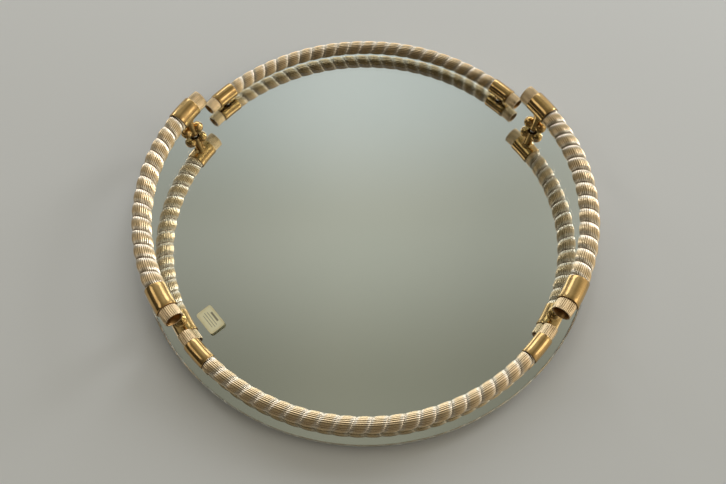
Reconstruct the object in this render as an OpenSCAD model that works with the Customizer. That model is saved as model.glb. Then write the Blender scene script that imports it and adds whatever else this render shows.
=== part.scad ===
// Round dresser vanity tray: a drilled mirror plate with two raised rope-tube
// handles at the sides and two low rope-tube gallery rails at the front and back.
// Millimetres, +Z up, handles on the X axis, front rail towards -Y, feet on z = 0.

/* [Mirror plate] */
// Diameter of the mirror glass
mirror_d = 305; // [295:1:320]
// Thickness of the mirror glass
glass_t = 3.2; // [3:0.1:5]
// Width of the polished bevel round both edges of the glass
edge_bevel = 0.7; // [0.3:0.1:1.2]
// Thickness of the silver coat on the back of the glass
silver_t = 0.2; // [0.1:0.05:0.3]
// Thickness of the protective paint behind the silver
backing_t = 0.2; // [0.1:0.05:0.4]

/* [Handles] */
// Radius of a handle's centre line
handle_arc_r = 128.4; // [120:0.5:132]
// How far a handle's arc centre stands out from the tray's centre
handle_offset = 15.6; // [8:0.1:18]
// Height of a handle's centre line above the glass
handle_rise = 23.2; // [20:0.1:40]
// Diameter of a handle's rope tube over its crests
handle_d = 12.6; // [11:0.1:14]
// Angle from the handle's middle to its post
handle_post_angle = 32.15; // [28:0.05:34]

/* [Gallery rails] */
// Radius of a rail's centre line
rail_arc_r = 141.4; // [136:0.1:143]
// Height of a rail's centre line above the glass
rail_rise = 6; // [5.9:0.1:9]
// Diameter of a rail's rope tube over its crests
rail_d = 9.8; // [9:0.1:10.4]
// Angle from the rail's middle to its fixing screw
rail_post_angle = 46.5; // [40:0.1:47]

/* [Tube ends] */
// Wall thickness of both tubes
tube_wall = 0.9; // [0.7:0.1:1.2]
// How much thinner in radius the plain tube ends are than the rope crests
end_step = 0.3; // [0.2:0.05:0.5]
// Length of a handle's ferrule along the tube
handle_ferrule_len = 16.8; // [14:0.1:20]
// Length of a rail's ferrule along the tube
rail_ferrule_len = 16.4; // [14:0.1:20]
// Outer diameter of a handle's ferrule
handle_ferrule_d = 13.8; // [13.4:0.1:14.6]
// Outer diameter of a rail's ferrule
rail_ferrule_d = 10.8; // [10.6:0.1:11.2]
// Length of open tube that stands out past a ferrule
stub_len = 8; // [5:0.1:12]

/* [Posts and saddles] */
// Diameter of the two balls at the foot of a post
ball_d = 8.2; // [7:0.1:9]
// Distance between the two ball centres
ball_spacing = 8.8; // [8.4:0.1:10]
// Direction in plan of the ball pair on the back right post
ball_line_angle = -35.7; // [-60:0.1:-10]
// Diameter of the post's stem
stem_d = 6; // [5.4:0.1:7]
// Diameter of the cupped collar under a handle's ferrule
collar_d = 8.4; // [7.4:0.1:9]
// Diameter of the saddle under a rail's ferrule
saddle_d = 7.4; // [6.6:0.1:8.4]

/* [Fasteners] */
// Diameter of the fixing screws
screw_d = 3.5; // [3:0.1:3.6]
// Length of a handle's screw under its head
handle_screw_len = 30; // [28:1:31]
// Length of a rail's screw under its head
rail_screw_len = 10; // [9:0.5:10.5]
// Diameter of the pan heads
head_d = 6.8; // [6:0.1:7.4]
// Height of the pan heads
head_h = 2; // [1.6:0.1:2.2]
// Thickness of the fibre washers on top of the glass
top_washer_t = 0.3; // [0.2:0.05:0.3]
// Thickness of the steel washers under the screw heads
head_washer_t = 0.6; // [0.4:0.1:0.8]

/* [Feet and label] */
// Height of the rubber feet
foot_h = 5; // [4.6:0.1:8]
// Diameter of a rubber foot where it meets the backing
foot_d = 18; // [14:0.5:19]
// Length of the paper label
label_len = 17; // [14:0.5:20]
// Width of the paper label
label_w = 11; // [8:0.5:13]

/* [Hidden] */

$fn = 96;
arc_fn = 240;                     // facets of a full turn of the big arcs
tube_fn = 64;                     // facets round a tube
corner_fn = 32;                   // facets of the label's corners
play = 0.03;                      // radial clearance between parts that slide together
cup_play = 0.1;                   // the cups are straight, so they clear the bent ferrules by this
eps = 0.5;                        // how far a cutter runs past what it cuts
over = 1;                         // degrees that a bent cutter runs past a tube's end

// Heights of the stack, from the table up
silver_z = foot_h + backing_t;
glass_z = silver_z + silver_t;
glass_top = glass_z + glass_t;
handle_z = glass_top + handle_rise;
rail_z = glass_top + rail_rise;

// Tube sections
handle_r = handle_d / 2;
rail_r = rail_d / 2;
handle_end_r = handle_r - end_step;
rail_end_r = rail_r - end_step;
handle_bore_r = handle_end_r - tube_wall;
rail_bore_r = rail_end_r - tube_wall;

// Where the fixings stand in plan
handle_post_x = handle_offset + handle_arc_r * cos(handle_post_angle);
handle_post_y = handle_arc_r * sin(handle_post_angle);
rail_post_x = rail_arc_r * sin(rail_post_angle);
rail_post_y = rail_arc_r * cos(rail_post_angle);

// Holes for the screws
glass_hole_play = 0.6;            // room round a screw in the glass, so that it can't crack it
screw_hole_play = 0.1;
glass_hole_r = screw_d / 2 + glass_hole_play;
screw_hole_r = screw_d / 2 + screw_hole_play;
handle_thread_top = 2;            // a plug's threaded hole ends this far above its tube's centre line
rail_thread_top = 1.5;

// Posts and saddles
collar_h = 3.2;                   // height of the cupped collar, half of it tapered
cup_deep = 1.2;                   // how deep a ferrule sits in its cup

// Screws, washers and feet
head_washer_r = 4.2;
top_washer_r = 3.4;
foot_web = 1.6;                   // rubber left between the foot's pocket and the backing
foot_pocket_play = 0.6;
foot_taper = 1.5;                 // the foot narrows towards the table
foot_edge = 0.6;                  // small bevel round the foot's tip
foot_pocket_r = head_washer_r + foot_pocket_play;
foot_tip_r = foot_d / 2 - foot_taper;
head_rim = 0.6;                   // makes the dome fuller, so that a pan head keeps an upright rim
handle_head_z = foot_h - foot_web - head_washer_t;
rail_head_z = foot_h - head_washer_t;
slot_w = 0.9;                     // arms of the cross slot in a screw head
slot_len = 3.8;
slot_deep = 1.1;
plug_len = 13;                    // length of a threaded plug along its tube
plug_play = 0.05;
label_t = 0.15;
label_corner = 1.6;
label_at = [-99.1, -74.1];
label_turn = -50;

// Angle that a length takes along an arc
function along(length, r) = length / r * 180 / PI;

handle_half_ferrule = along(handle_ferrule_len, handle_arc_r) / 2;
rail_half_ferrule = along(rail_ferrule_len, rail_arc_r) / 2;
handle_rope_end = handle_post_angle - handle_half_ferrule;
rail_rope_end = rail_post_angle - rail_half_ferrule;
handle_tube_end = handle_post_angle + handle_half_ferrule + along(stub_len, handle_arc_r);
rail_tube_end = rail_post_angle + rail_half_ferrule + along(stub_len, rail_arc_r);
handle_centre = [handle_offset, 0, handle_z];
rail_centre = [0, 0, rail_z];

// ---- shared shapes ----

// A round bar bent to radius arc_r, from angle a to angle b about Z
module arc_bar(arc_r, bar_r, a, b) {
    rotate([0, 0, a])
        rotate_extrude(angle = b - a, $fn = arc_fn)
            translate([arc_r, 0])
                circle(r = bar_r, $fn = tube_fn);
}

// A bent tube: thick between the ferrules, a little thinner at its two plain ends
module bent_tube(arc_r, crest_r, end_r, bore_r, rope_end, tube_end) {
    difference() {
        union() {
            arc_bar(arc_r, crest_r, -rope_end, rope_end);
            arc_bar(arc_r, end_r, -tube_end, tube_end);
        }
        arc_bar(arc_r, bore_r, -tube_end - over, tube_end + over);
    }
}

// A short bent sleeve over a tube's end
module sleeve(arc_r, outer_r, bore_r, middle, half) {
    difference() {
        arc_bar(arc_r, outer_r, middle - half, middle + half);
        arc_bar(arc_r, bore_r, middle - half - over, middle + half + over);
    }
}

// A lying cylinder square to the radius at that angle, which cuts the seat for a ferrule
module cup(r, angle) {
    rotate([0, 0, angle]) rotate([90, 0, 0]) cylinder(r = r, h = 2 * collar_d, center = true);
}

// A shape in the back right corner and its mirror images in the other three corners
module four_corners() {
    for (flip_x = [0, 1], flip_y = [0, 1])
        mirror([flip_x, 0, 0]) mirror([0, flip_y, 0]) children();
}

module washer(r, hole_r, t) {
    difference() {
        cylinder(r = r, h = t);
        translate([0, 0, -eps]) cylinder(r = hole_r, h = t + 2 * eps);
    }
}

// ---- mirror plate ----

module fixing_holes(r, z, t) {
    four_corners() {
        translate([handle_post_x, handle_post_y, z - eps]) cylinder(r = r, h = t + 2 * eps);
        translate([rail_post_x, rail_post_y, z - eps]) cylinder(r = r, h = t + 2 * eps);
    }
}

module mirror_glass() {
    r = mirror_d / 2;
    color([0.80, 0.88, 0.86])
        difference() {
            translate([0, 0, glass_z])
                rotate_extrude($fn = arc_fn)
                    polygon([
                        [0, 0], [r - edge_bevel, 0], [r, edge_bevel],
                        [r, glass_t - edge_bevel], [r - edge_bevel, glass_t], [0, glass_t]
                    ]);
            fixing_holes(glass_hole_r, glass_z, glass_t);
        }
}

// A thin layer on the back of the glass, drilled like the glass
module back_layer(z, t, r) {
    difference() {
        translate([0, 0, z]) cylinder(r = r, h = t, $fn = arc_fn);
        fixing_holes(glass_hole_r, z, t);
    }
}

module silver_coat() {
    color([0.75, 0.77, 0.76]) back_layer(silver_z, silver_t, mirror_d / 2 - edge_bevel);
}

module backing_paint() {
    color([0.30, 0.31, 0.32]) back_layer(foot_h, backing_t, mirror_d / 2 - edge_bevel);
}

// ---- handles ----

module handle_tube() {
    color([0.86, 0.78, 0.66])
        difference() {
            translate(handle_centre)
                bent_tube(handle_arc_r, handle_r, handle_end_r, handle_bore_r,
                          handle_rope_end, handle_tube_end);
            for (side = [-1, 1])
                translate([handle_post_x, side * handle_post_y, handle_z - handle_d])
                    cylinder(r = screw_hole_r, h = handle_d);
        }
}

// The ferrule at the handle's back end
module handle_ferrule() {
    color([0.72, 0.55, 0.28])
        difference() {
            translate(handle_centre)
                sleeve(handle_arc_r, handle_ferrule_d / 2, handle_end_r + play,
                       handle_post_angle, handle_half_ferrule);
            translate([handle_post_x, handle_post_y, handle_z - handle_d])
                cylinder(r = screw_hole_r, h = handle_d);
        }
}

// A post: two balls side by side on the glass, a stem between them, a cupped collar on top
module handle_post() {
    foot_z = glass_top + top_washer_t;
    ball_z = glass_top + ball_d / 2;  // the balls are cut flat where the washer lifts the post
    top_z = handle_z - handle_ferrule_d / 2 + cup_deep;
    color([0.70, 0.52, 0.26])
        difference() {
            union() {
                translate([handle_post_x, handle_post_y, foot_z])
                    cylinder(r = stem_d / 2, h = top_z - foot_z);
                translate([handle_post_x, handle_post_y, top_z - collar_h])
                    cylinder(r1 = stem_d / 2, r2 = collar_d / 2, h = collar_h / 2);
                translate([handle_post_x, handle_post_y, top_z - collar_h / 2])
                    cylinder(r = collar_d / 2, h = collar_h / 2);
                translate([handle_post_x, handle_post_y, ball_z])
                    for (turn = [0, 180])
                        rotate([0, 0, ball_line_angle + turn])
                            translate([ball_spacing / 2, 0, 0]) sphere(d = ball_d);
            }
            translate([handle_post_x, handle_post_y, handle_z])
                cup(handle_ferrule_d / 2 + cup_play, handle_post_angle);
            translate([handle_post_x, handle_post_y, glass_top - eps])
                cylinder(r = screw_hole_r, h = handle_rise);
            translate([handle_post_x, handle_post_y, glass_top - eps])
                cylinder(r = ball_spacing + ball_d, h = top_washer_t + eps);
        }
}

// ---- gallery rails ----

module rail_tube() {
    color([0.86, 0.78, 0.66])
        difference() {
            translate(rail_centre)
                rotate([0, 0, 90])
                    bent_tube(rail_arc_r, rail_r, rail_end_r, rail_bore_r,
                              rail_rope_end, rail_tube_end);
            for (side = [-1, 1])
                translate([side * rail_post_x, rail_post_y, rail_z - rail_d])
                    cylinder(r = screw_hole_r, h = rail_d);
        }
}

// The ferrule at the back rail's right end
module rail_ferrule() {
    color([0.72, 0.55, 0.28])
        difference() {
            translate(rail_centre)
                rotate([0, 0, 90])
                    sleeve(rail_arc_r, rail_ferrule_d / 2, rail_end_r + play,
                           -rail_post_angle, rail_half_ferrule);
            translate([rail_post_x, rail_post_y, rail_z - rail_d])
                cylinder(r = screw_hole_r, h = rail_d);
        }
}

// A small cupped saddle between the ferrule and the glass
module rail_saddle() {
    saddle_h = rail_rise - rail_ferrule_d / 2 + cup_deep;
    color([0.70, 0.52, 0.26])
        difference() {
            translate([rail_post_x, rail_post_y, glass_top + top_washer_t])
                cylinder(r = saddle_d / 2, h = saddle_h - top_washer_t);
            translate([rail_post_x, rail_post_y, rail_z])
                cup(rail_ferrule_d / 2 + cup_play, 90 - rail_post_angle);
            translate([rail_post_x, rail_post_y, glass_top - eps])
                cylinder(r = screw_hole_r, h = rail_rise);
        }
}

// ---- inside the tube ends ----

// Threaded plugs: short bent bars in the tube ends that the screws pull against
module handle_plugs() {
    half = along(plug_len, handle_arc_r) / 2;
    color([0.62, 0.62, 0.60])
        four_corners()
            difference() {
                translate(handle_centre)
                    arc_bar(handle_arc_r, handle_bore_r - plug_play,
                            handle_post_angle - half, handle_post_angle + half);
                translate([handle_post_x, handle_post_y, handle_z - handle_d])
                    cylinder(r = screw_d / 2 + play, h = handle_d + handle_thread_top);
            }
}

module rail_plugs() {
    half = along(plug_len, rail_arc_r) / 2;
    color([0.62, 0.62, 0.60])
        four_corners()
            difference() {
                translate(rail_centre)
                    rotate([0, 0, 90])
                        arc_bar(rail_arc_r, rail_bore_r - plug_play,
                                -rail_post_angle - half, -rail_post_angle + half);
                translate([rail_post_x, rail_post_y, rail_z - rail_d])
                    cylinder(r = screw_d / 2 + play, h = rail_d + rail_thread_top);
            }
}

// ---- screws and washers ----

// A pan-head screw, head down, with the underside of its head at z = 0
module pan_screw(length) {
    dome_r = (head_d * head_d / 4 + head_h * head_h) / (2 * head_h);
    difference() {
        union() {
            cylinder(r = screw_d / 2, h = length);
            intersection() {
                translate([0, 0, -head_h]) cylinder(r = head_d / 2, h = head_h);
                translate([0, 0, dome_r - head_h - head_rim]) sphere(r = dome_r + head_rim);
            }
        }
        for (turn = [0, 90])
            rotate([0, 0, turn])
                translate([-slot_len / 2, -slot_w / 2, -head_h - eps])
                    cube([slot_len, slot_w, slot_deep + eps]);
    }
}

module handle_screws() {
    color([0.74, 0.66, 0.46])
        four_corners()
            translate([handle_post_x, handle_post_y, handle_head_z]) pan_screw(handle_screw_len);
}

module rail_screws() {
    color([0.74, 0.66, 0.46])
        four_corners()
            translate([rail_post_x, rail_post_y, rail_head_z]) pan_screw(rail_screw_len);
}

module head_washers() {
    color([0.66, 0.67, 0.68])
        four_corners() {
            translate([handle_post_x, handle_post_y, handle_head_z])
                washer(head_washer_r, screw_hole_r, head_washer_t);
            translate([rail_post_x, rail_post_y, rail_head_z])
                washer(head_washer_r, screw_hole_r, head_washer_t);
        }
}

module post_washers() {
    color([0.45, 0.18, 0.12])
        four_corners()
            translate([handle_post_x, handle_post_y, glass_top])
                washer(top_washer_r, screw_hole_r, top_washer_t);
}

module saddle_washers() {
    color([0.45, 0.18, 0.12])
        four_corners()
            translate([rail_post_x, rail_post_y, glass_top])
                washer(top_washer_r, screw_hole_r, top_washer_t);
}

// ---- feet and label ----

// Rubber feet, each held up by a handle's screw in a pocket that hides the head
module rubber_feet() {
    color([0.12, 0.12, 0.12])
        four_corners()
            translate([handle_post_x, handle_post_y, 0])
                rotate_extrude()
                    polygon([
                        [screw_hole_r, foot_h - foot_web], [foot_pocket_r, foot_h - foot_web],
                        [foot_pocket_r, 0], [foot_tip_r - foot_edge, 0], [foot_tip_r, foot_edge],
                        [foot_d / 2, foot_h], [screw_hole_r, foot_h]
                    ]);
}

module label() {
    inner_len = label_len - 2 * label_corner;
    inner_w = label_w - 2 * label_corner;
    color([0.87, 0.82, 0.60])
        translate([label_at[0], label_at[1], glass_top])
            rotate([0, 0, label_turn])
                linear_extrude(label_t) {
                    square([label_len, inner_w], center = true);
                    square([inner_len, label_w], center = true);
                    for (sx = [-1, 1], sy = [-1, 1])
                        translate([sx * inner_len / 2, sy * inner_w / 2])
                            circle(r = label_corner, $fn = corner_fn);
                }
}

mirror_glass();
silver_coat();
backing_paint();
mirror([1, 0, 0]) handle_tube();  // handle_tube_left
handle_tube();  // handle_tube_right
mirror([0, 1, 0]) rail_tube();  // rail_tube_front
rail_tube();  // rail_tube_back
mirror([1, 0, 0]) mirror([0, 1, 0]) handle_ferrule();  // handle_ferrule_left_front
mirror([1, 0, 0]) handle_ferrule();  // handle_ferrule_left_back
mirror([0, 1, 0]) handle_ferrule();  // handle_ferrule_right_front
handle_ferrule();  // handle_ferrule_right_back
mirror([1, 0, 0]) mirror([0, 1, 0]) rail_ferrule();  // rail_ferrule_front_left
mirror([0, 1, 0]) rail_ferrule();  // rail_ferrule_front_right
mirror([1, 0, 0]) rail_ferrule();  // rail_ferrule_back_left
rail_ferrule();  // rail_ferrule_back_right
mirror([1, 0, 0]) mirror([0, 1, 0]) handle_post();  // handle_post_left_front
mirror([1, 0, 0]) handle_post();  // handle_post_left_back
mirror([0, 1, 0]) handle_post();  // handle_post_right_front
handle_post();  // handle_post_right_back
mirror([1, 0, 0]) mirror([0, 1, 0]) rail_saddle();  // rail_saddle_front_left
mirror([0, 1, 0]) rail_saddle();  // rail_saddle_front_right
mirror([1, 0, 0]) rail_saddle();  // rail_saddle_back_left
rail_saddle();  // rail_saddle_back_right
handle_plugs();
rail_plugs();
handle_screws();
rail_screws();
head_washers();
post_washers();
saddle_washers();
rubber_feet();
label();
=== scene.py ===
# %% [markdown]
# # A round mirrored vanity tray
#
# The tray is a plate of mirror glass with two raised rope-twist handles at its sides and two low
# rope-twist rails at its front and back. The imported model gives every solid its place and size.
# This lesson keeps the parts that are already right, such as the glass, the posts and the feet, and
# gives them finishes. It models the parts whose beauty is in their detail: the twisted and reeded
# tubes, the turned ferrules, the silvering and the paper label.

import math

import bmesh
import bpy
from mathutils import Matrix, Vector


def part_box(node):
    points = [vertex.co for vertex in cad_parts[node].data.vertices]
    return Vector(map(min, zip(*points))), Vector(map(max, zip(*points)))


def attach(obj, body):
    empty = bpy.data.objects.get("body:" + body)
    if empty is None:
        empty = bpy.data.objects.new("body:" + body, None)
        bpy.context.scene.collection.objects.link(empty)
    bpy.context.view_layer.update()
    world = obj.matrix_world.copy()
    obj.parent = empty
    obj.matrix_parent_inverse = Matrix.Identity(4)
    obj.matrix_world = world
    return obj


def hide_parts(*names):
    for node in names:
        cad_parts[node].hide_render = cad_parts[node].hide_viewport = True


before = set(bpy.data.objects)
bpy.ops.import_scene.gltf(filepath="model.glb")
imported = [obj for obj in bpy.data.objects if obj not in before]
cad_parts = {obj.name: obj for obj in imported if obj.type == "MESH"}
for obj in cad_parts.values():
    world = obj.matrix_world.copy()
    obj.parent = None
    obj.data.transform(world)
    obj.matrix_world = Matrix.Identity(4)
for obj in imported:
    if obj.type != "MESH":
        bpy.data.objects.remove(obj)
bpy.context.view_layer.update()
MM = 0.001
print("nodes in the frame:", len(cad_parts))

# %% [markdown]
# ## Sizes
#
# Everything is worked out from the solids where it can be. A node's box gives the height of a tube
# and how far out it reaches. The few numbers that a box can't give, such as the radius that a tube
# is bent to, are written here once, in the maker's own terms.

# %% Sizes read from the solids
glass_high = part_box("mirror_glass")[1]
GLASS_TOP = glass_high.z
PLATE_RADIUS = glass_high.x
PLAIN_DROP = 0.3 * MM
TUBE_WALL = 0.9 * MM
STUB_LENGTH = 8 * MM


class Tube:
    """One size of rope tube: how it is bent and where its ferrules sit along it."""

    def __init__(self, node, reach_axis, arc_radius, post_angle, ferrule_length, ferrule_radius):
        low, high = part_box(node)
        self.crest = (high.z - low.z) / 2
        self.height = (high.z + low.z) / 2
        self.arc = arc_radius
        self.centre_out = high[reach_axis] - self.crest - arc_radius
        self.post_at = arc_radius * math.radians(post_angle)
        self.ferrule_length = ferrule_length
        self.ferrule_radius = ferrule_radius
        self.plain = self.crest - PLAIN_DROP
        self.bore = self.plain - TUBE_WALL
        self.open_end = self.post_at + ferrule_length / 2 + STUB_LENGTH


handle = Tube("handle_tube_right", 0, 128.4 * MM, 32.15, 16.8 * MM, 6.9 * MM)
rail = Tube("rail_tube_back", 1, 141.4 * MM, 46.5, 16.4 * MM, 5.4 * MM)
print(f"handle tube {2000 * handle.crest:.1f} mm, arc centre {1000 * handle.centre_out:.1f} mm out")
print(f"rail tube {2000 * rail.crest:.1f} mm, arc centre {1000 * rail.centre_out:.1f} mm out")

# %% [markdown]
# ## The camera
#
# The camera stands at the front of the dresser and looks steeply down. Its turns are easiest to
# read as three plain rotations: first tip it up from looking straight down, then swing it left or
# right, then roll it a little, as a hand-held camera always is.

# %% Place the camera
CAMERA_PLACE = Vector((-3.5, -198.8, 383.3)) * MM
CAMERA_DOWN = math.radians(64.7)
CAMERA_SWING = math.radians(0.48)
CAMERA_ROLL = math.radians(-0.48)
CAMERA_LENS = 30.75

camera_data = bpy.data.cameras.new("camera")
camera_data.lens = CAMERA_LENS
camera = bpy.data.objects.new("camera", camera_data)
bpy.context.scene.collection.objects.link(camera)
turn = (
    Matrix.Rotation(-CAMERA_SWING, 4, "Z")
    @ Matrix.Rotation(math.pi / 2 - CAMERA_DOWN, 4, "X")
    @ Matrix.Rotation(CAMERA_ROLL, 4, "Z")
)
camera.matrix_world = Matrix.Translation(CAMERA_PLACE) @ turn
bpy.context.scene.camera = camera
print(f"camera {1000 * (CAMERA_PLACE.z - GLASS_TOP):.0f} mm above the glass")

# %% [markdown]
# ## Small tools
#
# Operators act on whatever is selected, so each piece starts by deselecting everything. A profile
# for turning is drawn as by hand: a primitive is collapsed to one point, and that point is extruded
# along the outline. The Screw modifier then turns the outline round the X axis, like a lathe, or
# like a screw thread when it also moves along.

# %% Tools for selecting, turning and bending
def start_fresh():
    """Leaves edit mode and deselects everything."""
    if bpy.context.mode != "OBJECT":
        bpy.ops.object.mode_set(mode="OBJECT")
    bpy.ops.object.select_all(action="DESELECT")


def work_on(piece):
    """Makes a piece the only one selected, and the active one."""
    start_fresh()
    piece.select_set(True)
    bpy.context.view_layer.objects.active = piece


def select_points(piece, wanted):
    """In edit mode, selects the points whose place wanted(place) says yes to."""
    mesh = bmesh.from_edit_mesh(piece.data)
    for point in mesh.verts:
        point.select_set(bool(wanted(point.co)))
    mesh.select_flush_mode()
    bmesh.update_edit_mesh(piece.data)


def draw_outline(name, points, closed=False):
    """Extrudes a single point through (along, out) points in the XZ plane."""
    start_fresh()
    bpy.ops.mesh.primitive_plane_add(size=MM)
    piece = bpy.context.object
    piece.name = name
    places = [Vector((along, 0, out)) for along, out in points]
    bpy.ops.object.mode_set(mode="EDIT")
    bpy.ops.mesh.merge(type="CENTER")
    bpy.ops.transform.translate(value=places[0])
    if closed:
        places.append(places[0])
    for here, there in zip(places, places[1:]):
        bpy.ops.mesh.extrude_vertices_move(TRANSFORM_OT_translate={"value": there - here})
    bpy.ops.object.mode_set(mode="OBJECT")
    return piece


def apply_modifier(piece, modifier):
    work_on(piece)
    bpy.ops.object.modifier_apply(modifier=modifier.name)


def turn_round(piece, steps, pitch=0.0, turns=1):
    """Turns an outline round the X axis. With a pitch it climbs as it turns, left-handed."""
    screw = piece.modifiers.new("turning", "SCREW")
    screw.axis = "X"
    screw.angle = -2 * math.pi
    screw.screw_offset = pitch
    screw.iterations = turns
    screw.steps = steps
    screw.render_steps = steps
    apply_modifier(piece, screw)


WELD_GAP = 0.002 * MM


def clean_up(piece):
    """Welds doubled points and turns every face outwards."""
    work_on(piece)
    bpy.ops.object.mode_set(mode="EDIT")
    bpy.ops.mesh.select_all(action="SELECT")
    bpy.ops.mesh.remove_doubles(threshold=WELD_GAP)
    bpy.ops.mesh.normals_make_consistent(inside=False)
    bpy.ops.object.mode_set(mode="OBJECT")


def span(piece):
    """Lowest and highest place of a piece along X."""
    along = [point.co.x for point in piece.data.vertices]
    return min(along), max(along)


def bend_to(piece, arc_radius):
    """Bends a straight piece along X to an arc whose centre is arc_radius away on +Y."""
    low, high = span(piece)
    bend = piece.modifiers.new("bending", "SIMPLE_DEFORM")
    bend.deform_method = "BEND"
    bend.deform_axis = "Z"
    bend.angle = (high - low) / arc_radius
    apply_modifier(piece, bend)


def set_down(piece, quarter_turns, place):
    """Turns a piece about Z by quarter turns, moves it, and leaves its place in its mesh."""
    work_on(piece)
    piece.rotation_euler.z = quarter_turns * math.pi / 2
    piece.location = place
    bpy.ops.object.transform_apply(location=True, rotation=True, scale=True)


def copy_of(piece, name):
    twin = piece.copy()
    twin.data = piece.data.copy()
    twin.name = name
    bpy.context.scene.collection.objects.link(twin)
    return twin


def faces_of(piece):
    return sum(len(face.vertices) - 2 for face in piece.data.polygons)


# %% [markdown]
# ## What the finish has to know
#
# The finish follows the metal round the bend: tarnish and painted shade lie in the grooves, a
# painted highlight lies on the middles of the reeds, and the streaks of the polishing wheel run
# along the tube. Worked out from the finished shape, this would be guesswork.
# So each point's straight place is stored on the mesh before the piece is bent, with how deep it
# lies below the crests and how far it is between two reeds.

# %% Store a point's place on the straight piece
# a handle's swell and groove together, which is as deep as any point on a bead lies
GROOVE_DEEPEST = 0.9 * MM


def reed_share(place, reeds):
    """0 on the middle of a reed, 1 in the valley between two."""
    share = (math.atan2(place.z, place.y) * reeds / (2 * math.pi)) % 1
    return 2 * min(share, 1 - share)


def remember_straight_place(piece, crest, reeds=0):
    """Stores each point's place, how sunk it is from 0 to 1, and its share between two reeds."""
    stores = piece.data.attributes
    # all three are made first, because adding one moves the others in memory
    stores.new("straight_place", "FLOAT_VECTOR", "POINT")
    stores.new("sunk", "FLOAT", "POINT")
    stores.new("between_reeds", "FLOAT", "POINT")
    for point in piece.data.vertices:
        stores["straight_place"].data[point.index].vector = point.co
        below = crest - math.hypot(point.co.y, point.co.z)
        stores["sunk"].data[point.index].value = min(1.0, max(0.0, below / GROOVE_DEEPEST))
        if reeds:
            stores["between_reeds"].data[point.index].value = reed_share(point.co, reeds)


# %% [markdown]
# ## The rope twist
#
# The tubes are thin metal, reeded along their length and then rolled with one long spiral groove, so
# that they look like a rope of beads. A spiral sweep of a single bead's outline gives the twist
# exactly: one pitch of outline goes in, and each turn of the sweep starts where the last one ended.
# A displacement texture would be quicker, but its grooves would never be this crisp. The reeds, the
# fine round ribs that run along the tube, are pressed in afterwards. Each reed has six lines of
# points, and the lines away from its middle are drawn towards the axis.

# %% Outline of one bead
BEAD_RINGS = 12
GROOVE_DEPTH = 0.2 * MM
GROOVE_SHARPNESS = 16


def bead_outline(pitch, crest, swell):
    """One pitch from groove to groove: a round swell and a narrow deep groove at each end."""
    points = []
    for ring in range(BEAD_RINGS + 1):
        # 1 in a groove and 0 on the middle of the bead
        nearness = abs(math.cos(math.pi * ring / BEAD_RINGS))
        along = pitch * (1 - math.cos(math.pi * ring / BEAD_RINGS)) / 2
        out = crest - swell * nearness**2 - GROOVE_DEPTH * nearness**GROOVE_SHARPNESS
        points.append((along, out))
    return points


# %% Press the reeds in
REED_DEPTH = 0.35 * MM
LINES_PER_REED = 6
LINE_PLAY = 0.3


def press_reeds(piece, reeds, wanted):
    """Draws the lines of points between the reeds towards the axis, deepest in the valleys."""
    work_on(piece)
    bpy.ops.object.mode_set(mode="EDIT")
    bpy.ops.mesh.select_mode(type="VERT")
    for line in range(1, LINES_PER_REED // 2 + 1):

        def on_line(place):
            away = reed_share(place, reeds) * LINES_PER_REED / 2
            return wanted(place) and abs(away - line) < LINE_PLAY

        select_points(piece, on_line)
        drop = 1 - math.cos(math.pi * line / LINES_PER_REED)
        # one share for both sizes of tube, so the thinner rails get shallower reeds
        keep = 1 - drop * REED_DEPTH / handle.crest
        bpy.ops.transform.resize(value=(1, keep, keep), center_override=(0, 0, 0))
    bpy.ops.object.mode_set(mode="OBJECT")


# %% Twisted middle of a tube
TUCKED_IN = 2 * MM


def twisted_length(name, tube, pitch, reeds, swell):
    """A straight rope of beads along X, centred on 0, that ends just inside both ferrules."""
    half = tube.post_at - tube.ferrule_length / 2 + TUCKED_IN
    # longer than it has to be, because both ends are then cut off square
    turns = math.ceil(2 * half / pitch) + 2
    piece = draw_outline(name, bead_outline(pitch, tube.crest, swell))
    turn_round(piece, reeds * LINES_PER_REED, pitch, turns)
    work_on(piece)
    bpy.ops.object.mode_set(mode="EDIT")
    bpy.ops.mesh.select_all(action="SELECT")
    bpy.ops.transform.translate(value=(-(turns + 1) * pitch / 2, 0, 0))
    bpy.ops.mesh.remove_doubles(threshold=WELD_GAP)
    for side in (-1, 1):
        bpy.ops.mesh.select_all(action="SELECT")
        bpy.ops.mesh.bisect(
            plane_co=(side * half, 0, 0), plane_no=(side, 0, 0), clear_outer=True, use_fill=True
        )
    bpy.ops.object.mode_set(mode="OBJECT")
    remember_straight_place(piece, tube.crest, reeds)
    press_reeds(piece, reeds, lambda place: abs(place.x) < half - TUCKED_IN / 2)
    clean_up(piece)
    return piece


# %% [markdown]
# ## The open ends of the tubes
#
# Past each ferrule the tube runs on as a short plain stub. It keeps its reeds but not the twist,
# and it is open, so one can look into it. The stub is turned on the lathe from one outline that goes
# out along the outside, over the rounded lip and back in along the bore.

# %% Reeded stub with an open bore
LIP = 0.3 * MM
STUB_RINGS = 7


def open_stub(name, tube, reeds):
    """A straight hollow tube end along +X, from inside the ferrule to its open lip."""
    inner = tube.post_at - 5 * MM
    bore_end = tube.post_at + 5.5 * MM
    outline = [(inner, 0), (inner, tube.plain)]
    # rings along the outside, so that the stub can bend
    for ring in range(1, STUB_RINGS + 1):
        outline.append((inner + (tube.open_end - LIP - inner) * ring / STUB_RINGS, tube.plain))
    outline += [
        (tube.open_end - 0.3 * LIP, tube.plain - 0.3 * LIP),
        (tube.open_end, tube.plain - LIP),
        (tube.open_end, tube.bore + 0.5 * LIP),
        (tube.open_end - 0.5 * LIP, tube.bore),
        (bore_end, tube.bore),
        (bore_end, 0),
    ]
    piece = draw_outline(name, outline)
    turn_round(piece, reeds * LINES_PER_REED)
    clean_up(piece)
    remember_straight_place(piece, tube.plain, reeds)
    outside = tube.plain - 0.05 * MM
    press_reeds(piece, reeds, lambda place: math.hypot(place.y, place.z) > outside)
    return piece


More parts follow.
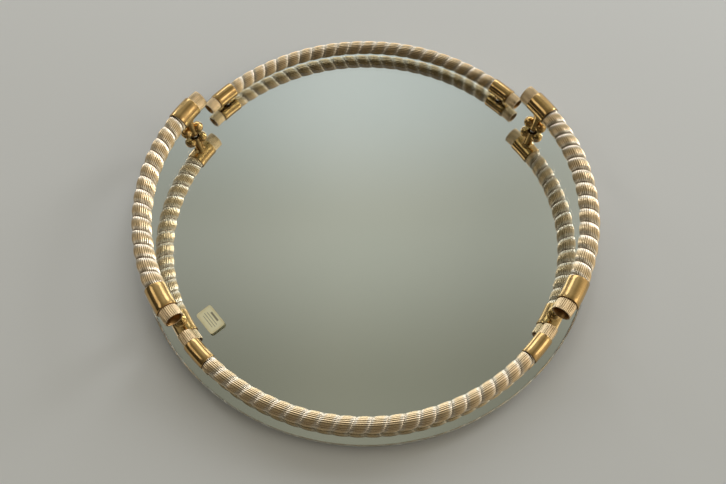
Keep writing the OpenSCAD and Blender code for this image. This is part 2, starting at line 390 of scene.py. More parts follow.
# %% [markdown]
# ## One whole tube
#
# The three lengths are joined while they are straight, and the whole is bent afterwards, so that
# beads, reeds and stubs all follow one arc. Each size of tube is made once and copied to its
# second place.

# %% Join the lengths of a tube
def rope_tube(name, tube, pitch, reeds, swell):
    """A whole straight tube: the twisted middle and both open stubs in one mesh."""
    middle = twisted_length(name, tube, pitch, reeds, swell)
    stub = open_stub(name + "_stub", tube, reeds)
    other = copy_of(stub, name + "_stub_2")
    set_down(other, 2, (0, 0, 0))
    start_fresh()
    for part in (stub, other, middle):
        part.select_set(True)
    bpy.context.view_layer.objects.active = middle
    bpy.ops.object.join()
    bpy.ops.object.shade_smooth_by_angle(angle=math.radians(50))
    low, high = span(middle)
    print(f"{name} is {1000 * (high - low):.1f} mm long while it is straight")
    return middle


HANDLE_BEADS = 13
RAIL_BEADS = 22
handle_pitch = 2 * (handle.post_at - handle.ferrule_length / 2) / HANDLE_BEADS
rail_pitch = 2 * (rail.post_at - rail.ferrule_length / 2) / RAIL_BEADS
print(f"bead pitch: handles {1000 * handle_pitch:.2f} mm, rails {1000 * rail_pitch:.2f} mm")

# %% The four rope tubes in place
HANDLE_REEDS = 30
RAIL_REEDS = 24
HANDLE_SWELL = 0.7 * MM
RAIL_SWELL = 0.46 * MM
straight_handle = rope_tube("handle_rope_right", handle, handle_pitch, HANDLE_REEDS, HANDLE_SWELL)
straight_rail = rope_tube("rail_rope_front", rail, rail_pitch, RAIL_REEDS, RAIL_SWELL)

# quarter turns and directions carry a tube that is bent at the front round to each side
HANDLE_SIDES = {"right": (1, 1), "left": (3, -1)}
RAIL_SIDES = {"front": (0, -1), "back": (2, 1)}


def put_on_handle_arc(piece, side):
    quarters, out = HANDLE_SIDES[side]
    set_down(piece, quarters, (out * (handle.arc + handle.centre_out), 0, handle.height))


def put_on_rail_arc(piece, side):
    quarters, out = RAIL_SIDES[side]
    set_down(piece, quarters, (0, out * rail.arc, rail.height))


ropes = {}
bend_to(straight_handle, handle.arc)
ropes["handle_tube_left"] = copy_of(straight_handle, "handle_rope_left")
ropes["handle_tube_right"] = straight_handle
put_on_handle_arc(ropes["handle_tube_left"], "left")
put_on_handle_arc(ropes["handle_tube_right"], "right")
bend_to(straight_rail, rail.arc)
ropes["rail_tube_back"] = copy_of(straight_rail, "rail_rope_back")
ropes["rail_tube_front"] = straight_rail
put_on_rail_arc(ropes["rail_tube_back"], "back")
put_on_rail_arc(ropes["rail_tube_front"], "front")
for node, rope in ropes.items():
    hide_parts(node)
    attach(rope, "root")
    print(rope.name, faces_of(rope), "triangles")

# %% [markdown]
# ## The ferrules
#
# A ferrule is a short sleeve of polished brass that hides where the twist stops and the plain stub
# begins. It is turned from a closed outline: flat ends, softly rounded edges, and a bore that just
# clears the beads on one side and the stub on the other. It is bent to the same arc as its tube.

# %% Turn one straight ferrule
FERRULE_EDGE = 0.35 * MM
MOUTH_DEPTH = 3.4 * MM
SEAT_DEPTH = 4 * MM


def turned_ferrule(name, tube, steps):
    """A straight sleeve along X over the tube's +X post. Its rope end looks towards -X."""
    half = tube.ferrule_length / 2
    edge = FERRULE_EDGE
    outer = tube.ferrule_radius
    mouth = tube.crest + 0.06 * MM
    seat = tube.plain + 0.03 * MM
    outline = []
    for end in (-1, 1):
        for step in range(4):
            round_off = math.radians(30 * step if end < 0 else 90 - 30 * step)
            outline.append((
                tube.post_at + end * (half - edge + edge * math.cos(round_off)),
                outer - edge + edge * math.sin(round_off),
            ))
        # points along the outside, so that the sleeve can bend
        if end < 0:
            for step in range(1, 6):
                outline.append((tube.post_at + (half - edge) * (step / 3 - 1), outer))
    outline += [
        (tube.post_at + half, seat + 0.1 * MM),
        (tube.post_at + half - 0.1 * MM, seat),
        (tube.post_at - half + SEAT_DEPTH, seat),
        (tube.post_at - half + MOUTH_DEPTH, mouth),
        (tube.post_at - half, mouth + 0.1 * MM),
    ]
    piece = draw_outline(name, outline, closed=True)
    turn_round(piece, steps)
    clean_up(piece)
    remember_straight_place(piece, outer)
    bpy.ops.object.shade_smooth_by_angle(angle=math.radians(40))
    return piece


# %% Eight ferrules from two patterns
ferrules = {}
handle_pattern = turned_ferrule("handle_ferrule_pattern", handle, 96)
rail_pattern = turned_ferrule("rail_ferrule_pattern", rail, 80)
# 1 where the pattern already faces its rope, and -1 where it is turned round first
HANDLE_ENDS = {
    ("right", "back"): 1, ("right", "front"): -1,
    ("left", "front"): 1, ("left", "back"): -1,
}
RAIL_ENDS = {
    ("front", "right"): 1, ("front", "left"): -1,
    ("back", "left"): 1, ("back", "right"): -1,
}
for (side, end), towards in HANDLE_ENDS.items():
    ferrule = copy_of(handle_pattern, f"brass_sleeve_handle_{side}_{end}")
    if towards < 0:
        set_down(ferrule, 2, (0, 0, 0))
    bend_to(ferrule, handle.arc)
    put_on_handle_arc(ferrule, side)
    ferrules[f"handle_ferrule_{side}_{end}"] = ferrule
for (side, end), towards in RAIL_ENDS.items():
    ferrule = copy_of(rail_pattern, f"brass_sleeve_rail_{side}_{end}")
    if towards < 0:
        set_down(ferrule, 2, (0, 0, 0))
    bend_to(ferrule, rail.arc)
    put_on_rail_arc(ferrule, side)
    ferrules[f"rail_ferrule_{side}_{end}"] = ferrule
bpy.data.objects.remove(handle_pattern)
bpy.data.objects.remove(rail_pattern)
for node, ferrule in ferrules.items():
    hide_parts(node)
    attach(ferrule, "root")
print("ferrules:", len(ferrules), "of", faces_of(ferrule), "triangles")

# %% [markdown]
# ## The silvering
#
# On a real mirror the silver is bonded to the glass with nothing between. Two surfaces in exactly
# the same place confuse a ray tracer, so a copy of the coat is sunk a hair's breadth into the glass.
# Light then meets silver while it is still inside the glass, as it does in the real thing.

# %% Sink the silver into the glass
SINK = 0.02 * MM


def copy_of_node(node, name):
    """A free copy of a solid that is to be changed, without the frame's own notes on it."""
    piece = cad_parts[node].copy()
    piece.data = piece.data.copy()
    piece.name = name
    for key in list(piece.keys()):
        del piece[key]
    piece.parent = None
    bpy.context.scene.collection.objects.link(piece)
    return piece


silvering = copy_of_node("silver_coat", "silvering")
work_on(silvering)
bpy.ops.object.mode_set(mode="EDIT")
bpy.ops.mesh.select_all(action="SELECT")
bpy.ops.mesh.remove_doubles(threshold=0.001 * MM)
bpy.ops.transform.translate(value=(0, 0, SINK))
bpy.ops.object.mode_set(mode="OBJECT")
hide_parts("silver_coat")
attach(silvering, "root")
print("silvering", faces_of(silvering), "triangles")

# %% [markdown]
# ## The paper label
#
# A small gummed label sits on the glass near the front left. Its corners are rounded, and one has
# started to lift. The print is only a heading bar and three ruled lines, as on a blank tag.

# %% Cut the label
label_low, label_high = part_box("label")
LABEL_LENGTH = 17 * MM
LABEL_WIDTH = 11 * MM
LABEL_TURN = math.radians(-50)
LABEL_CORNER = 1.6 * MM
LABEL_THICK = 0.12 * MM
LABEL_PARTS_LONG = 12
LABEL_PARTS_WIDE = 8
label_centre = (label_low + label_high) / 2

start_fresh()
bpy.ops.mesh.primitive_plane_add(size=1)
label = bpy.context.object
label.name = "paper_label"
bpy.ops.object.mode_set(mode="EDIT")
bpy.ops.transform.resize(value=(LABEL_LENGTH, LABEL_WIDTH, 1), center_override=(0, 0, 0))
bpy.ops.mesh.bevel(offset=LABEL_CORNER, segments=6, affect="VERTICES")
bpy.ops.mesh.select_all(action="SELECT")
bpy.ops.mesh.extrude_region_move(TRANSFORM_OT_translate={"value": (0, 0, LABEL_THICK)})
for cut in range(1, LABEL_PARTS_LONG):
    along = LABEL_LENGTH * (cut / LABEL_PARTS_LONG - 0.5)
    bpy.ops.mesh.select_all(action="SELECT")
    bpy.ops.mesh.bisect(plane_co=(along, 0, 0), plane_no=(1, 0, 0))
for cut in range(1, LABEL_PARTS_WIDE):
    across = LABEL_WIDTH * (cut / LABEL_PARTS_WIDE - 0.5)
    bpy.ops.mesh.select_all(action="SELECT")
    bpy.ops.mesh.bisect(plane_co=(0, across, 0), plane_no=(0, 1, 0))
bpy.ops.mesh.select_all(action="SELECT")
bpy.ops.mesh.normals_make_consistent(inside=False)
bpy.ops.object.mode_set(mode="OBJECT")

# %% Remember the flat label, then lift its corner and lay it down
LIFTED_CORNER = 1.6 * MM
LIFT_STARTS = 0.55
GUM_THICK = 0.01 * MM

printed = label.data.attributes.new("label_place", "FLOAT_VECTOR", "POINT")
for point in label.data.vertices:
    printed.data[point.index].vector = point.co
for point in label.data.vertices:
    lift = max(0.0, point.co.x / LABEL_LENGTH + point.co.y / LABEL_WIDTH - LIFT_STARTS)
    point.co.z += LIFTED_CORNER * lift**2 + GUM_THICK
label.rotation_euler.z = LABEL_TURN
label.location = (label_centre.x, label_centre.y, GLASS_TOP)
work_on(label)
bpy.ops.object.transform_apply(location=True, rotation=True, scale=True)
bpy.ops.object.shade_smooth_by_angle(angle=math.radians(40))
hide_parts("label")
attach(label, "root")
print("label", faces_of(label), "triangles")

# %% [markdown]
# ## Finishes
#
# Every material is procedural. Effects that several finishes share are node groups: one that ages a
# metal in soft patches, and one that draws the fine streaks of a polishing wheel. A group only gives
# out colours and values. The shader itself, and every number that is the same all over a surface,
# stays in the material, so that an exporter can read it.

# %% Tools for node trees
def new_group(name, inputs, outputs):
    """A shader node group with the named sockets, and its input and output nodes."""
    group = bpy.data.node_groups.new(name, "ShaderNodeTree")
    for kind, socket, start in inputs:
        made = group.interface.new_socket(socket, in_out="INPUT", socket_type=kind)
        if start is not None:
            made.default_value = start
    for kind, socket in outputs:
        group.interface.new_socket(socket, in_out="OUTPUT", socket_type=kind)
    return group, group.nodes.new("NodeGroupInput"), group.nodes.new("NodeGroupOutput")


def connect(tree, source, socket):
    """Links source to socket, or sets the socket to it where it is a plain value."""
    if isinstance(source, bpy.types.NodeSocket):
        tree.links.new(source, socket)
    else:
        socket.default_value = source


def noise(tree, place, scale, detail=3.0, rough=0.5):
    node = tree.nodes.new("ShaderNodeTexNoise")
    connect(tree, place, node.inputs["Vector"])
    connect(tree, scale, node.inputs["Scale"])
    connect(tree, detail, node.inputs["Detail"])
    connect(tree, rough, node.inputs["Roughness"])
    return node.outputs["Fac"]


def math_node(tree, work, first, second=0.0, limit=False):
    node = tree.nodes.new("ShaderNodeMath")
    node.operation = work
    node.use_clamp = limit
    connect(tree, first, node.inputs[0])
    connect(tree, second, node.inputs[1])
    return node.outputs[0]


def stretch(tree, value, low, high, new_low=0.0, new_high=1.0):
    """Maps low..high to new_low..new_high, smoothly and within those limits."""
    node = tree.nodes.new("ShaderNodeMapRange")
    node.interpolation_type = "SMOOTHSTEP"
    for socket, source in zip(node.inputs, (value, low, high, new_low, new_high)):
        connect(tree, source, socket)
    return node.outputs[0]


def mix_colour(tree, share, first, second):
    node = tree.nodes.new("ShaderNodeMix")
    node.data_type = "RGBA"
    connect(tree, share, node.inputs[0])
    connect(tree, first, node.inputs[6])
    connect(tree, second, node.inputs[7])
    return node.outputs[2]


def scaled_place(tree, place, scale):
    node = tree.nodes.new("ShaderNodeMapping")
    connect(tree, place, node.inputs["Vector"])
    node.inputs["Scale"].default_value = scale
    return node.outputs[0]


def object_place(tree):
    return tree.nodes.new("ShaderNodeTexCoord").outputs["Object"]


def stored(tree, name):
    """The value that the piece's own mesh stores under that name."""
    node = tree.nodes.new("ShaderNodeAttribute")
    node.attribute_name = name
    return node


def bump(tree, height, distance):
    node = tree.nodes.new("ShaderNodeBump")
    connect(tree, height, node.inputs["Height"])
    node.inputs["Distance"].default_value = distance
    return node.outputs[0]


def new_material(name):
    """A material, its node tree and its one shader."""
    material = bpy.data.materials.new(name)
    material.use_nodes = True
    tree = material.node_tree
    shader = next(node for node in tree.nodes if node.type == "BSDF_PRINCIPLED")
    return material, tree, shader


def group_in(tree, group, **values):
    """Places a group and fills its sockets. Underscores in a name stand for spaces."""
    node = tree.nodes.new("ShaderNodeGroup")
    node.node_tree = group
    for name, source in values.items():
        connect(tree, source, node.inputs[name.replace("_", " ")])
    return node


# %% Group: metal that has aged in soft patches
COLOUR = "NodeSocketColor"
VALUE = "NodeSocketFloat"
PLACE = "NodeSocketVector"

AGED, given, result = new_group(
    "aged_metal",
    [
        (PLACE, "Place", None),
        (COLOUR, "Clean", (0.8, 0.6, 0.3, 1)),
        (COLOUR, "Dull", (0.4, 0.3, 0.15, 1)),
        (VALUE, "Patch scale", 120.0),
        (VALUE, "Dullness", 0.3),
        (VALUE, "Smooth", 0.15),
        (VALUE, "Rough", 0.3),
    ],
    [(COLOUR, "Colour"), (VALUE, "Roughness"), (VALUE, "Height")],
)
patches = noise(AGED, given.outputs["Place"], given.outputs["Patch scale"], 4.0, 0.6)
grains = noise(AGED, given.outputs["Place"], 2600.0, 2.0)
worn = stretch(AGED, patches, 0.35, 0.7)
dulled = math_node(AGED, "MULTIPLY", worn, given.outputs["Dullness"])
connect(AGED, mix_colour(AGED, dulled, given.outputs["Clean"], given.outputs["Dull"]),
        result.inputs["Colour"])
mottle = math_node(AGED, "ADD", math_node(AGED, "MULTIPLY", worn, 0.7),
                   math_node(AGED, "MULTIPLY", grains, 0.3))
connect(AGED, stretch(AGED, mottle, 0.0, 1.0, given.outputs["Smooth"], given.outputs["Rough"]),
        result.inputs["Roughness"])
connect(AGED, grains, result.inputs["Height"])

# %% Group: lengthwise streaks of the polishing wheel
STREAKS, given, result = new_group(
    "polishing_streaks",
    [(PLACE, "Place", None), (VALUE, "Fineness", 900.0)],
    [(VALUE, "Streak")],
)
drawn = scaled_place(STREAKS, given.outputs["Place"], (0.04, 1.0, 1.0))
connect(STREAKS, noise(STREAKS, drawn, given.outputs["Fineness"], 3.0, 0.6),
        result.inputs["Streak"])
print("groups:", AGED.name, STREAKS.name)

# %% [markdown]
# ### Gilt for the rope tubes
#
# The tubes are plated in a pale champagne gilt. On the middles of the beads it is worn through to
# warmer gold, which also paints in their tan shading, and their shoulders stay whiter as a painted
# highlight. The middles of the reeds are whitened, partly as polish and partly as a painted
# highlight. A brown film of tarnish, darkened further as painted shade, lies in the valleys between
# the reeds and at the bottom of the spiral groove, and inside the open stubs the metal is bare and
# brown. The values that were stored before the bend say where each of them lies.

# %% Champagne gilt
# polish white, which also serves as the painted highlight on the crests of the reeds
POLISH_AND_HIGHLIGHT_WHITE = (1.0, 0.94, 0.84, 1)
WORN_AND_SHADED_GOLD = (0.92, 0.66, 0.36, 1)
FILM_AND_SHADE_BROWN = (0.22, 0.13, 0.055, 1)
BARE_INSIDE = (0.34, 0.19, 0.07, 1)


def champagne_gilt():
    material, tree, shader = new_material("champagne_gilt")
    place = stored(tree, "straight_place").outputs["Vector"]
    depth = stored(tree, "sunk").outputs["Fac"]
    between = stored(tree, "between_reeds").outputs["Fac"]
    # brown tarnish in the spiral groove and the reed valleys, darkened further as painted shade
    in_groove = stretch(tree, depth, 0.5, 0.95, 0.0, 0.6)
    in_valley = stretch(tree, between, 0.4, 0.9, 0.0, 0.75)
    film_and_shade = math_node(tree, "MAXIMUM", in_groove, in_valley)
    aged = group_in(
        tree, AGED, Place=place, Clean=(0.97, 0.84, 0.66, 1), Dull=(0.88, 0.68, 0.44, 1),
        Patch_scale=160.0, Dullness=0.6, Smooth=0.15, Rough=0.24,
    )
    streak = group_in(tree, STREAKS, Place=place, Fineness=1400.0).outputs["Streak"]
    wheel_marks = stretch(tree, streak, 0.3, 0.75, 0.0, 0.12)
    # the middles of the reeds are painted whiter: partly polish, partly a painted highlight
    reed_polish_and_highlight = stretch(tree, between, 0.15, 0.5, 0.35, 0.0)
    rubbed_and_highlit = math_node(tree, "ADD", wheel_marks, reed_polish_and_highlight)
    plated = mix_colour(tree, rubbed_and_highlit, aged.outputs["Colour"], POLISH_AND_HIGHLIGHT_WHITE)
    # the middles of the beads are worn to warmer gold, which also paints their tan shading, and the
    # shoulders stay whiter as a painted highlight
    worn = stretch(tree, depth, 0.04, 0.34, 0.8, 0.0)
    bright = mix_colour(tree, worn, plated, WORN_AND_SHADED_GOLD)
    filmed_and_shaded = mix_colour(tree, film_and_shade, bright, FILM_AND_SHADE_BROWN)
    bare = stretch(tree, depth, 0.9, 0.98)
    connect(tree, mix_colour(tree, bare, filmed_and_shaded, BARE_INSIDE), shader.inputs["Base Color"])
    film_rough = math_node(tree, "MULTIPLY", film_and_shade, 0.25)
    connect(tree, math_node(tree, "ADD", aged.outputs["Roughness"], film_rough, limit=True),
            shader.inputs["Roughness"])
    connect(tree, bump(tree, aged.outputs["Height"], 0.004 * MM), shader.inputs["Normal"])
    shader.inputs["Metallic"].default_value = 1.0
    return material


GILT = champagne_gilt()
for rope in ropes.values():
    rope.data.materials.clear()
    rope.data.materials.append(GILT)
print(GILT.name, "on", len(ropes), "tubes")

# %% [markdown]
# ### Brass for the ferrules and posts
#
# The ferrules are polished lacquered brass. Streaks run along them where the wheel passed, and dirt
# has darkened their bores. The posts are the same metal, with a softer, patchier polish because
# nobody can reach them. They keep their solid's shape, so one plain recipe serves them, the screws
# and the steel.

# %% Polished brass
STREAK_BROWN = (0.42, 0.25, 0.09, 1)
BORE_DIRT = (0.13, 0.07, 0.03, 1)


def ferrule_brass():
    material, tree, shader = new_material("ferrule_brass")
    place = stored(tree, "straight_place").outputs["Vector"]
    depth = stored(tree, "sunk").outputs["Fac"]
    aged = group_in(
        tree, AGED, Place=place, Clean=(0.70, 0.46, 0.19, 1), Dull=(0.44, 0.25, 0.09, 1),
        Patch_scale=140.0, Dullness=0.5, Smooth=0.12, Rough=0.24,
    )
    streak = group_in(tree, STREAKS, Place=place, Fineness=1100.0).outputs["Streak"]
    line = stretch(tree, streak, 0.52, 0.72, 0.0, 0.35)
    lined = mix_colour(tree, line, aged.outputs["Colour"], STREAK_BROWN)
    dirt = stretch(tree, depth, 0.3, 0.8, 0.0, 0.8)
    connect(tree, mix_colour(tree, dirt, lined, BORE_DIRT), shader.inputs["Base Color"])
    line_rough = math_node(tree, "MULTIPLY", line, 0.25)
    connect(tree, math_node(tree, "ADD", aged.outputs["Roughness"], line_rough),
            shader.inputs["Roughness"])
    connect(tree, bump(tree, streak, 0.006 * MM), shader.inputs["Normal"])
    shader.inputs["Metallic"].default_value = 1.0
    return material


FERRULE_BRASS = ferrule_brass()
for ferrule in ferrules.values():
    ferrule.data.materials.clear()
    ferrule.data.materials.append(FERRULE_BRASS)
print(FERRULE_BRASS.name, "on", len(ferrules), "ferrules")


# %% Cast brass, plated screws and turned steel
def plain_metal(name, clean, dull, smooth, rough):
    """A metal that ages in patches, for pieces that keep their solid's own shape."""
    material, tree, shader = new_material(name)
    aged = group_in(
        tree, AGED, Place=object_place(tree), Clean=clean, Dull=dull, Patch_scale=220.0,
        Dullness=0.6, Smooth=smooth, Rough=rough,
    )
    connect(tree, aged.outputs["Colour"], shader.inputs["Base Color"])
    connect(tree, aged.outputs["Roughness"], shader.inputs["Roughness"])
    connect(tree, bump(tree, aged.outputs["Height"], 0.004 * MM), shader.inputs["Normal"])
    shader.inputs["Metallic"].default_value = 1.0
    return material


POST_BRASS = plain_metal("post_brass", (0.74, 0.48, 0.19, 1), (0.42, 0.25, 0.09, 1), 0.12, 0.28)
SCREW_BRASS = plain_metal("screw_brass", (0.80, 0.68, 0.42, 1), (0.5, 0.4, 0.22, 1), 0.25, 0.4)
STEEL = plain_metal("turned_steel", (0.62, 0.61, 0.58, 1), (0.35, 0.30, 0.24, 1), 0.28, 0.45)
print("plain metals:", POST_BRASS.name, SCREW_BRASS.name, STEEL.name)

# %% [markdown]
# ### Glass and silver
#
# The glass is clear with a breath of green, and its edge is ground, so it is rough there. The
# silver behind it is bright, but near the rim damp has crept in over the years and left a thin
# broken brown line. A little haze on the glass keeps the reflection from being too perfect.

# %% Plate glass and silver
CREEP_RAGGED = 1.7 * MM
CREEP_SOFT = 0.6 * MM
CREEP_BROWN = (0.40, 0.36, 0.29, 1)


def from_rim(tree, place):
    """How far a place is in from the plate's rim."""
    flat = tree.nodes.new("ShaderNodeVectorMath")
    flat.operation = "LENGTH"
    connect(tree, scaled_place(tree, place, (1, 1, 0)), flat.inputs[0])
    return math_node(tree, "SUBTRACT", PLATE_RADIUS, flat.outputs["Value"])


def plate_glass():
    material, tree, shader = new_material("plate_glass")
    place = object_place(tree)
    haze = stretch(tree, noise(tree, place, 14.0, 4.0, 0.6), 0.45, 0.75, 0.0, 0.035)
    ground = stretch(tree, from_rim(tree, place), 0.3 * MM, 0.8 * MM, 0.45, 0.0)
    connect(tree, math_node(tree, "ADD", haze, ground), shader.inputs["Roughness"])
    tint = stretch(tree, noise(tree, place, 6.0, 2.0), 0.3, 0.7)
    connect(tree, mix_colour(tree, tint, (0.965, 0.985, 0.965, 1), (0.955, 0.978, 0.960, 1)),
            shader.inputs["Base Color"])
    shader.inputs["Metallic"].default_value = 0.0
    shader.inputs["Transmission Weight"].default_value = 1.0
    shader.inputs["IOR"].default_value = 1.52
    return material


def aged_silver():
    """Silver that has browned within a few millimetres of the rim."""
    material, tree, shader = new_material("aged_silver")
    place = object_place(tree)
    ragged = math_node(tree, "MULTIPLY", noise(tree, place, 260.0, 5.0, 0.65), CREEP_RAGGED)
    creep = stretch(tree, math_node(tree, "SUBTRACT", from_rim(tree, place), ragged),
                    0.0, CREEP_SOFT, 0.45, 0.0)
    silver = mix_colour(tree, stretch(tree, noise(tree, place, 9.0), 0.3, 0.7),
                        (0.93, 0.94, 0.92, 1), (0.90, 0.92, 0.90, 1))
    connect(tree, mix_colour(tree, creep, silver, CREEP_BROWN), shader.inputs["Base Color"])
    connect(tree, math_node(tree, "MULTIPLY", creep, 0.4), shader.inputs["Roughness"])
    shader.inputs["Metallic"].default_value = 1.0
    return material


PLATE_GLASS = plate_glass()
SILVER = aged_silver()
silvering.data.materials.clear()
silvering.data.materials.append(SILVER)
print(SILVER.name, "behind", PLATE_GLASS.name)


# %% Backing paint, rubber and fibre
def soft_solid(name, light, dark, patch_scale, grain_scale, roughness, grain_depth):
    """A dull material with soft patches of tone and a fine grain: paint, rubber, fibre."""
    material, tree, shader = new_material(name)
    place = object_place(tree)
    tone = stretch(tree, noise(tree, place, patch_scale, 4.0, 0.6), 0.3, 0.7)
    connect(tree, mix_colour(tree, tone, light, dark), shader.inputs["Base Color"])
    grain = noise(tree, place, grain_scale, 3.0, 0.6)
    connect(tree, stretch(tree, grain, 0.2, 0.8, roughness - 0.1, roughness + 0.1),
            shader.inputs["Roughness"])
    connect(tree, bump(tree, grain, grain_depth), shader.inputs["Normal"])
    return material


BACKING = soft_solid("backing_paint", (0.13, 0.135, 0.14, 1), (0.095, 0.10, 0.105, 1),
                     40.0, 900.0, 0.6, 0.03 * MM)
RUBBER = soft_solid("moulded_rubber", (0.028, 0.027, 0.026, 1), (0.016, 0.016, 0.016, 1),
                    90.0, 1500.0, 0.65, 0.05 * MM)
FIBRE = soft_solid("tan_fibre", (0.42, 0.27, 0.13, 1), (0.30, 0.18, 0.08, 1),
                   600.0, 2400.0, 0.7, 0.02 * MM)
print("soft solids:", BACKING.name, RUBBER.name, FIBRE.name)

# %% [markdown]
# ### Paper
#
# The label is cream paper that has yellowed towards its edges. Its bars and ruled lines are drawn
# from the place on the label that its mesh stores, so they turn with it.

# %% Printed label paper
def band(tree, value, centre, half_width):
    """1 on a line of that half width, and 0 off it, with a soft edge."""
    away = math_node(tree, "ABSOLUTE", math_node(tree, "SUBTRACT", value, centre))
    return stretch(tree, away, half_width, half_width * 1.8, 1.0, 0.0)


PRINT_BROWN = (0.10, 0.075, 0.05, 1)
# each printed bar's place across the label, its half width and the margin at its ends
LABEL_ROWS = (
    (3.0 * MM, 0.45 * MM, 4.6 * MM), (1.0 * MM, 0.12 * MM, 3.0 * MM),
    (-0.6 * MM, 0.12 * MM, 2.4 * MM), (-2.2 * MM, 0.12 * MM, 3.4 * MM),
)


def label_paper():
    material, tree, shader = new_material("label_paper")
    split = tree.nodes.new("ShaderNodeSeparateXYZ")
    place = stored(tree, "label_place").outputs["Vector"]
    connect(tree, place, split.inputs[0])
    along, across = split.outputs[0], split.outputs[1]
    from_end = math_node(tree, "SUBTRACT", LABEL_LENGTH / 2, math_node(tree, "ABSOLUTE", along))
    from_side = math_node(tree, "SUBTRACT", LABEL_WIDTH / 2, math_node(tree, "ABSOLUTE", across))
    from_edge = math_node(tree, "MINIMUM", from_end, from_side)
    print_share = 0.0
    for row, half_width, margin in LABEL_ROWS:
        inside = stretch(tree, from_end, margin, margin + 0.3 * MM)
        rule = math_node(tree, "MULTIPLY", band(tree, across, row, half_width), inside)
        print_share = math_node(tree, "MAXIMUM", print_share, rule)
    fibres = noise(tree, place, 1800.0, 4.0, 0.7)
    blots = noise(tree, place, 240.0, 3.0, 0.6)
    uneven = math_node(tree, "MULTIPLY", blots, 1.6 * MM)
    yellowed = stretch(tree, math_node(tree, "ADD", from_edge, uneven),
                       0.4 * MM, 3.2 * MM, 1.0, 0.0)
    paper = mix_colour(tree, yellowed, (0.95, 0.89, 0.60, 1), (0.82, 0.72, 0.41, 1))
    ink = math_node(tree, "MULTIPLY", print_share, 0.75)
    connect(tree, mix_colour(tree, ink, paper, PRINT_BROWN), shader.inputs["Base Color"])
    connect(tree, stretch(tree, fibres, 0.2, 0.8, 0.45, 0.7), shader.inputs["Roughness"])
    connect(tree, bump(tree, fibres, 0.02 * MM), shader.inputs["Normal"])
    return material


label.data.materials.clear()
label.data.materials.append(label_paper())
print("printed rows:", len(LABEL_ROWS))

# %% [markdown]
# ### The solids that stay
#
# The glass, the posts, saddles, fasteners, washers and feet are right as they are. Each solid only
# gets its finish in its material slots, and its mesh isn't touched.

# %% Finishes for the solids that stay
FINISHES = {
    "mirror_glass": PLATE_GLASS,
    "backing_paint": BACKING,
    "handle_plugs": STEEL,
    "rail_plugs": STEEL,
    "handle_screws": SCREW_BRASS,
    "rail_screws": SCREW_BRASS,
    "head_washers": STEEL,
    "post_washers": FIBRE,
    "saddle_washers": FIBRE,
    "rubber_feet": RUBBER,
}
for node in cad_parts:
    if node.startswith("handle_post_") or node.startswith("rail_saddle_"):
        FINISHES[node] = POST_BRASS
for node, finish in FINISHES.items():
    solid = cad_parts[node]
    if not solid.material_slots:
        solid.data.materials.append(finish)
    for slot in solid.material_slots:
        slot.material = finish
print("finished solids:", len(FINISHES))

# %% [markdown]
# ## The studio
#
# A plain pale floor, a pale room and soft lights. The mirror shows the upper room, so the room's
# brightness is a gradient: light at the back, dark towards the front and on the far left, and
# lighter again on the right wall. Cool daylight comes from a wide window at the back and from two
# small bright ones beside it, which draw crisp lines on the brass. A warm one on each side fills
# the handles.

# %% Pale floor
FLOOR_SIZE = 14

start_fresh()
bpy.ops.mesh.primitive_plane_add(size=FLOOR_SIZE)
floor = bpy.context.object
floor.name = "studio_floor"
bpy.ops.object.mode_set(mode="EDIT")
bpy.ops.mesh.subdivide(number_cuts=4)
bpy.ops.object.mode_set(mode="OBJECT")
floor_material, floor_tree, floor_shader = new_material("pale_floor")
floor_tone = noise(floor_tree, object_place(floor_tree), 3.0, 2.0)
connect(floor_tree, mix_colour(floor_tree, floor_tone, (0.80, 0.79, 0.77, 1), (0.78, 0.77, 0.75, 1)),
        floor_shader.inputs["Base Color"])
floor_shader.inputs["Roughness"].default_value = 0.75
floor.data.materials.append(floor_material)
print("floor of", floor.dimensions.x, "m")

# %% A room that is lighter at the back
world = bpy.data.worlds.new("room")
bpy.context.scene.world = world
world.use_nodes = True
room = world.node_tree
background = next(node for node in room.nodes if node.type == "BACKGROUND")
look = room.nodes.new("ShaderNodeSeparateXYZ")
connect(room, room.nodes.new("ShaderNodeTexCoord").outputs["Generated"], look.inputs[0])


def to_share(tree, value):
    """Maps -1..1 to 0..1 in a straight line."""
    return math_node(tree, "MULTIPLY", math_node(tree, "ADD", value, 1.0), 0.5)


def room_ramp(direction, stops):
    """Colours at places from -1 to 1 along one direction, with smooth steps between them."""
    node = room.nodes.new("ShaderNodeValToRGB")
    connect(room, to_share(room, direction), node.inputs["Fac"])
    ramp = node.color_ramp
    ramp.interpolation = "EASE"
    while len(ramp.elements) < len(stops):
        ramp.elements.new(0.5)
    for element, (place, colour) in zip(ramp.elements, stops):
        element.position = (place + 1) / 2
        element.color = (*colour, 1)
    return node.outputs["Color"]


def blend_colours(tree, way, first, second):
    node = tree.nodes.new("ShaderNodeMix")
    node.data_type = "RGBA"
    node.blend_type = way
    node.inputs[0].default_value = 1.0
    connect(tree, first, node.inputs[6])
    connect(tree, second, node.inputs[7])
    return node.outputs[2]


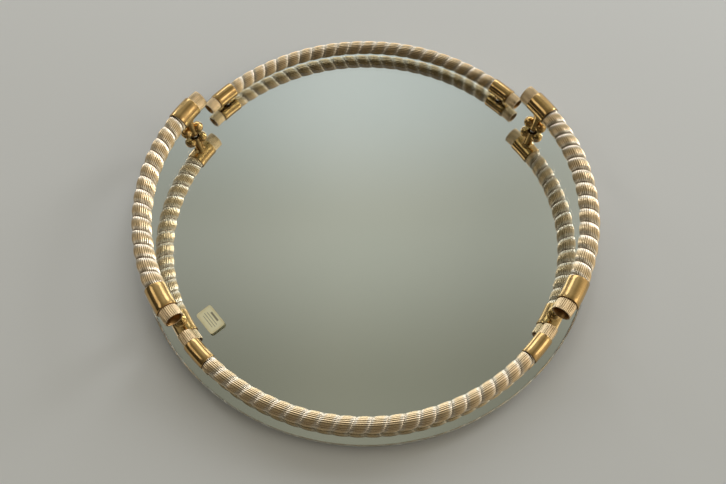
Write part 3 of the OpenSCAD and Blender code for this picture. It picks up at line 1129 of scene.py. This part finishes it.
front_to_back = room_ramp(look.outputs[1], [
    (-1.0, (0.09, 0.08, 0.065)), (-0.4, (0.14, 0.13, 0.10)), (0.2, (0.26, 0.255, 0.20)),
    (0.45, (0.43, 0.43, 0.37)), (0.65, (0.55, 0.58, 0.56)), (0.95, (0.75, 0.80, 0.80)),
])
side_to_side = room_ramp(look.outputs[0], [
    (-1.0, (0.3, 0.3, 0.3)), (-0.3, (0.75, 0.75, 0.75)), (0.0, (1, 1, 1)), (0.3, (0.8, 0.8, 0.8)),
])
right_wall = room_ramp(look.outputs[0], [(0.2, (0, 0, 0)), (1.0, (0.60, 0.56, 0.48))])
shaded = blend_colours(room, "MULTIPLY", front_to_back, side_to_side)
connect(room, blend_colours(room, "ADD", shaded, right_wall), background.inputs["Color"])
background.inputs["Strength"].default_value = 1.0
print("room:", world.name)

# %% Windows
DAYLIGHT = (0.96, 1.0, 1.05)
LAMPLIGHT = (1.0, 0.96, 0.88)
WINDOW_AWAY = 1.8


def window(name, swing, rise, width, height, brightness, tint):
    """A soft rectangle of light in metres that looks at the tray.

    It stands swing degrees to the right of straight behind the tray, and rise degrees up.
    """
    data = bpy.data.lights.new(name, "AREA")
    data.shape = "RECTANGLE"
    data.size, data.size_y = width, height
    data.energy = math.pi * width * height * brightness
    data.color = tint
    lamp = bpy.data.objects.new(name, data)
    swing, rise = math.radians(swing), math.radians(rise)
    lamp.location = WINDOW_AWAY * Vector(
        (math.sin(swing) * math.cos(rise), math.cos(swing) * math.cos(rise), math.sin(rise))
    )
    lamp.rotation_mode = "QUATERNION"
    lamp.rotation_quaternion = (-lamp.location).to_track_quat("-Z", "Y")
    bpy.context.scene.collection.objects.link(lamp)


window("window_back", 0, 28, 1.8, 0.86, 1.8, DAYLIGHT)
window("window_right_back", 56, 20, 0.5, 0.6, 7.0, DAYLIGHT)
window("window_right", 105, 33, 0.45, 0.8, 1.4, LAMPLIGHT)
window("window_left_back", -44, 20, 0.26, 0.34, 5.0, DAYLIGHT)
window("window_left", -88, 46, 0.9, 0.6, 1.0, LAMPLIGHT)
bpy.context.scene.view_settings.view_transform = "Standard"
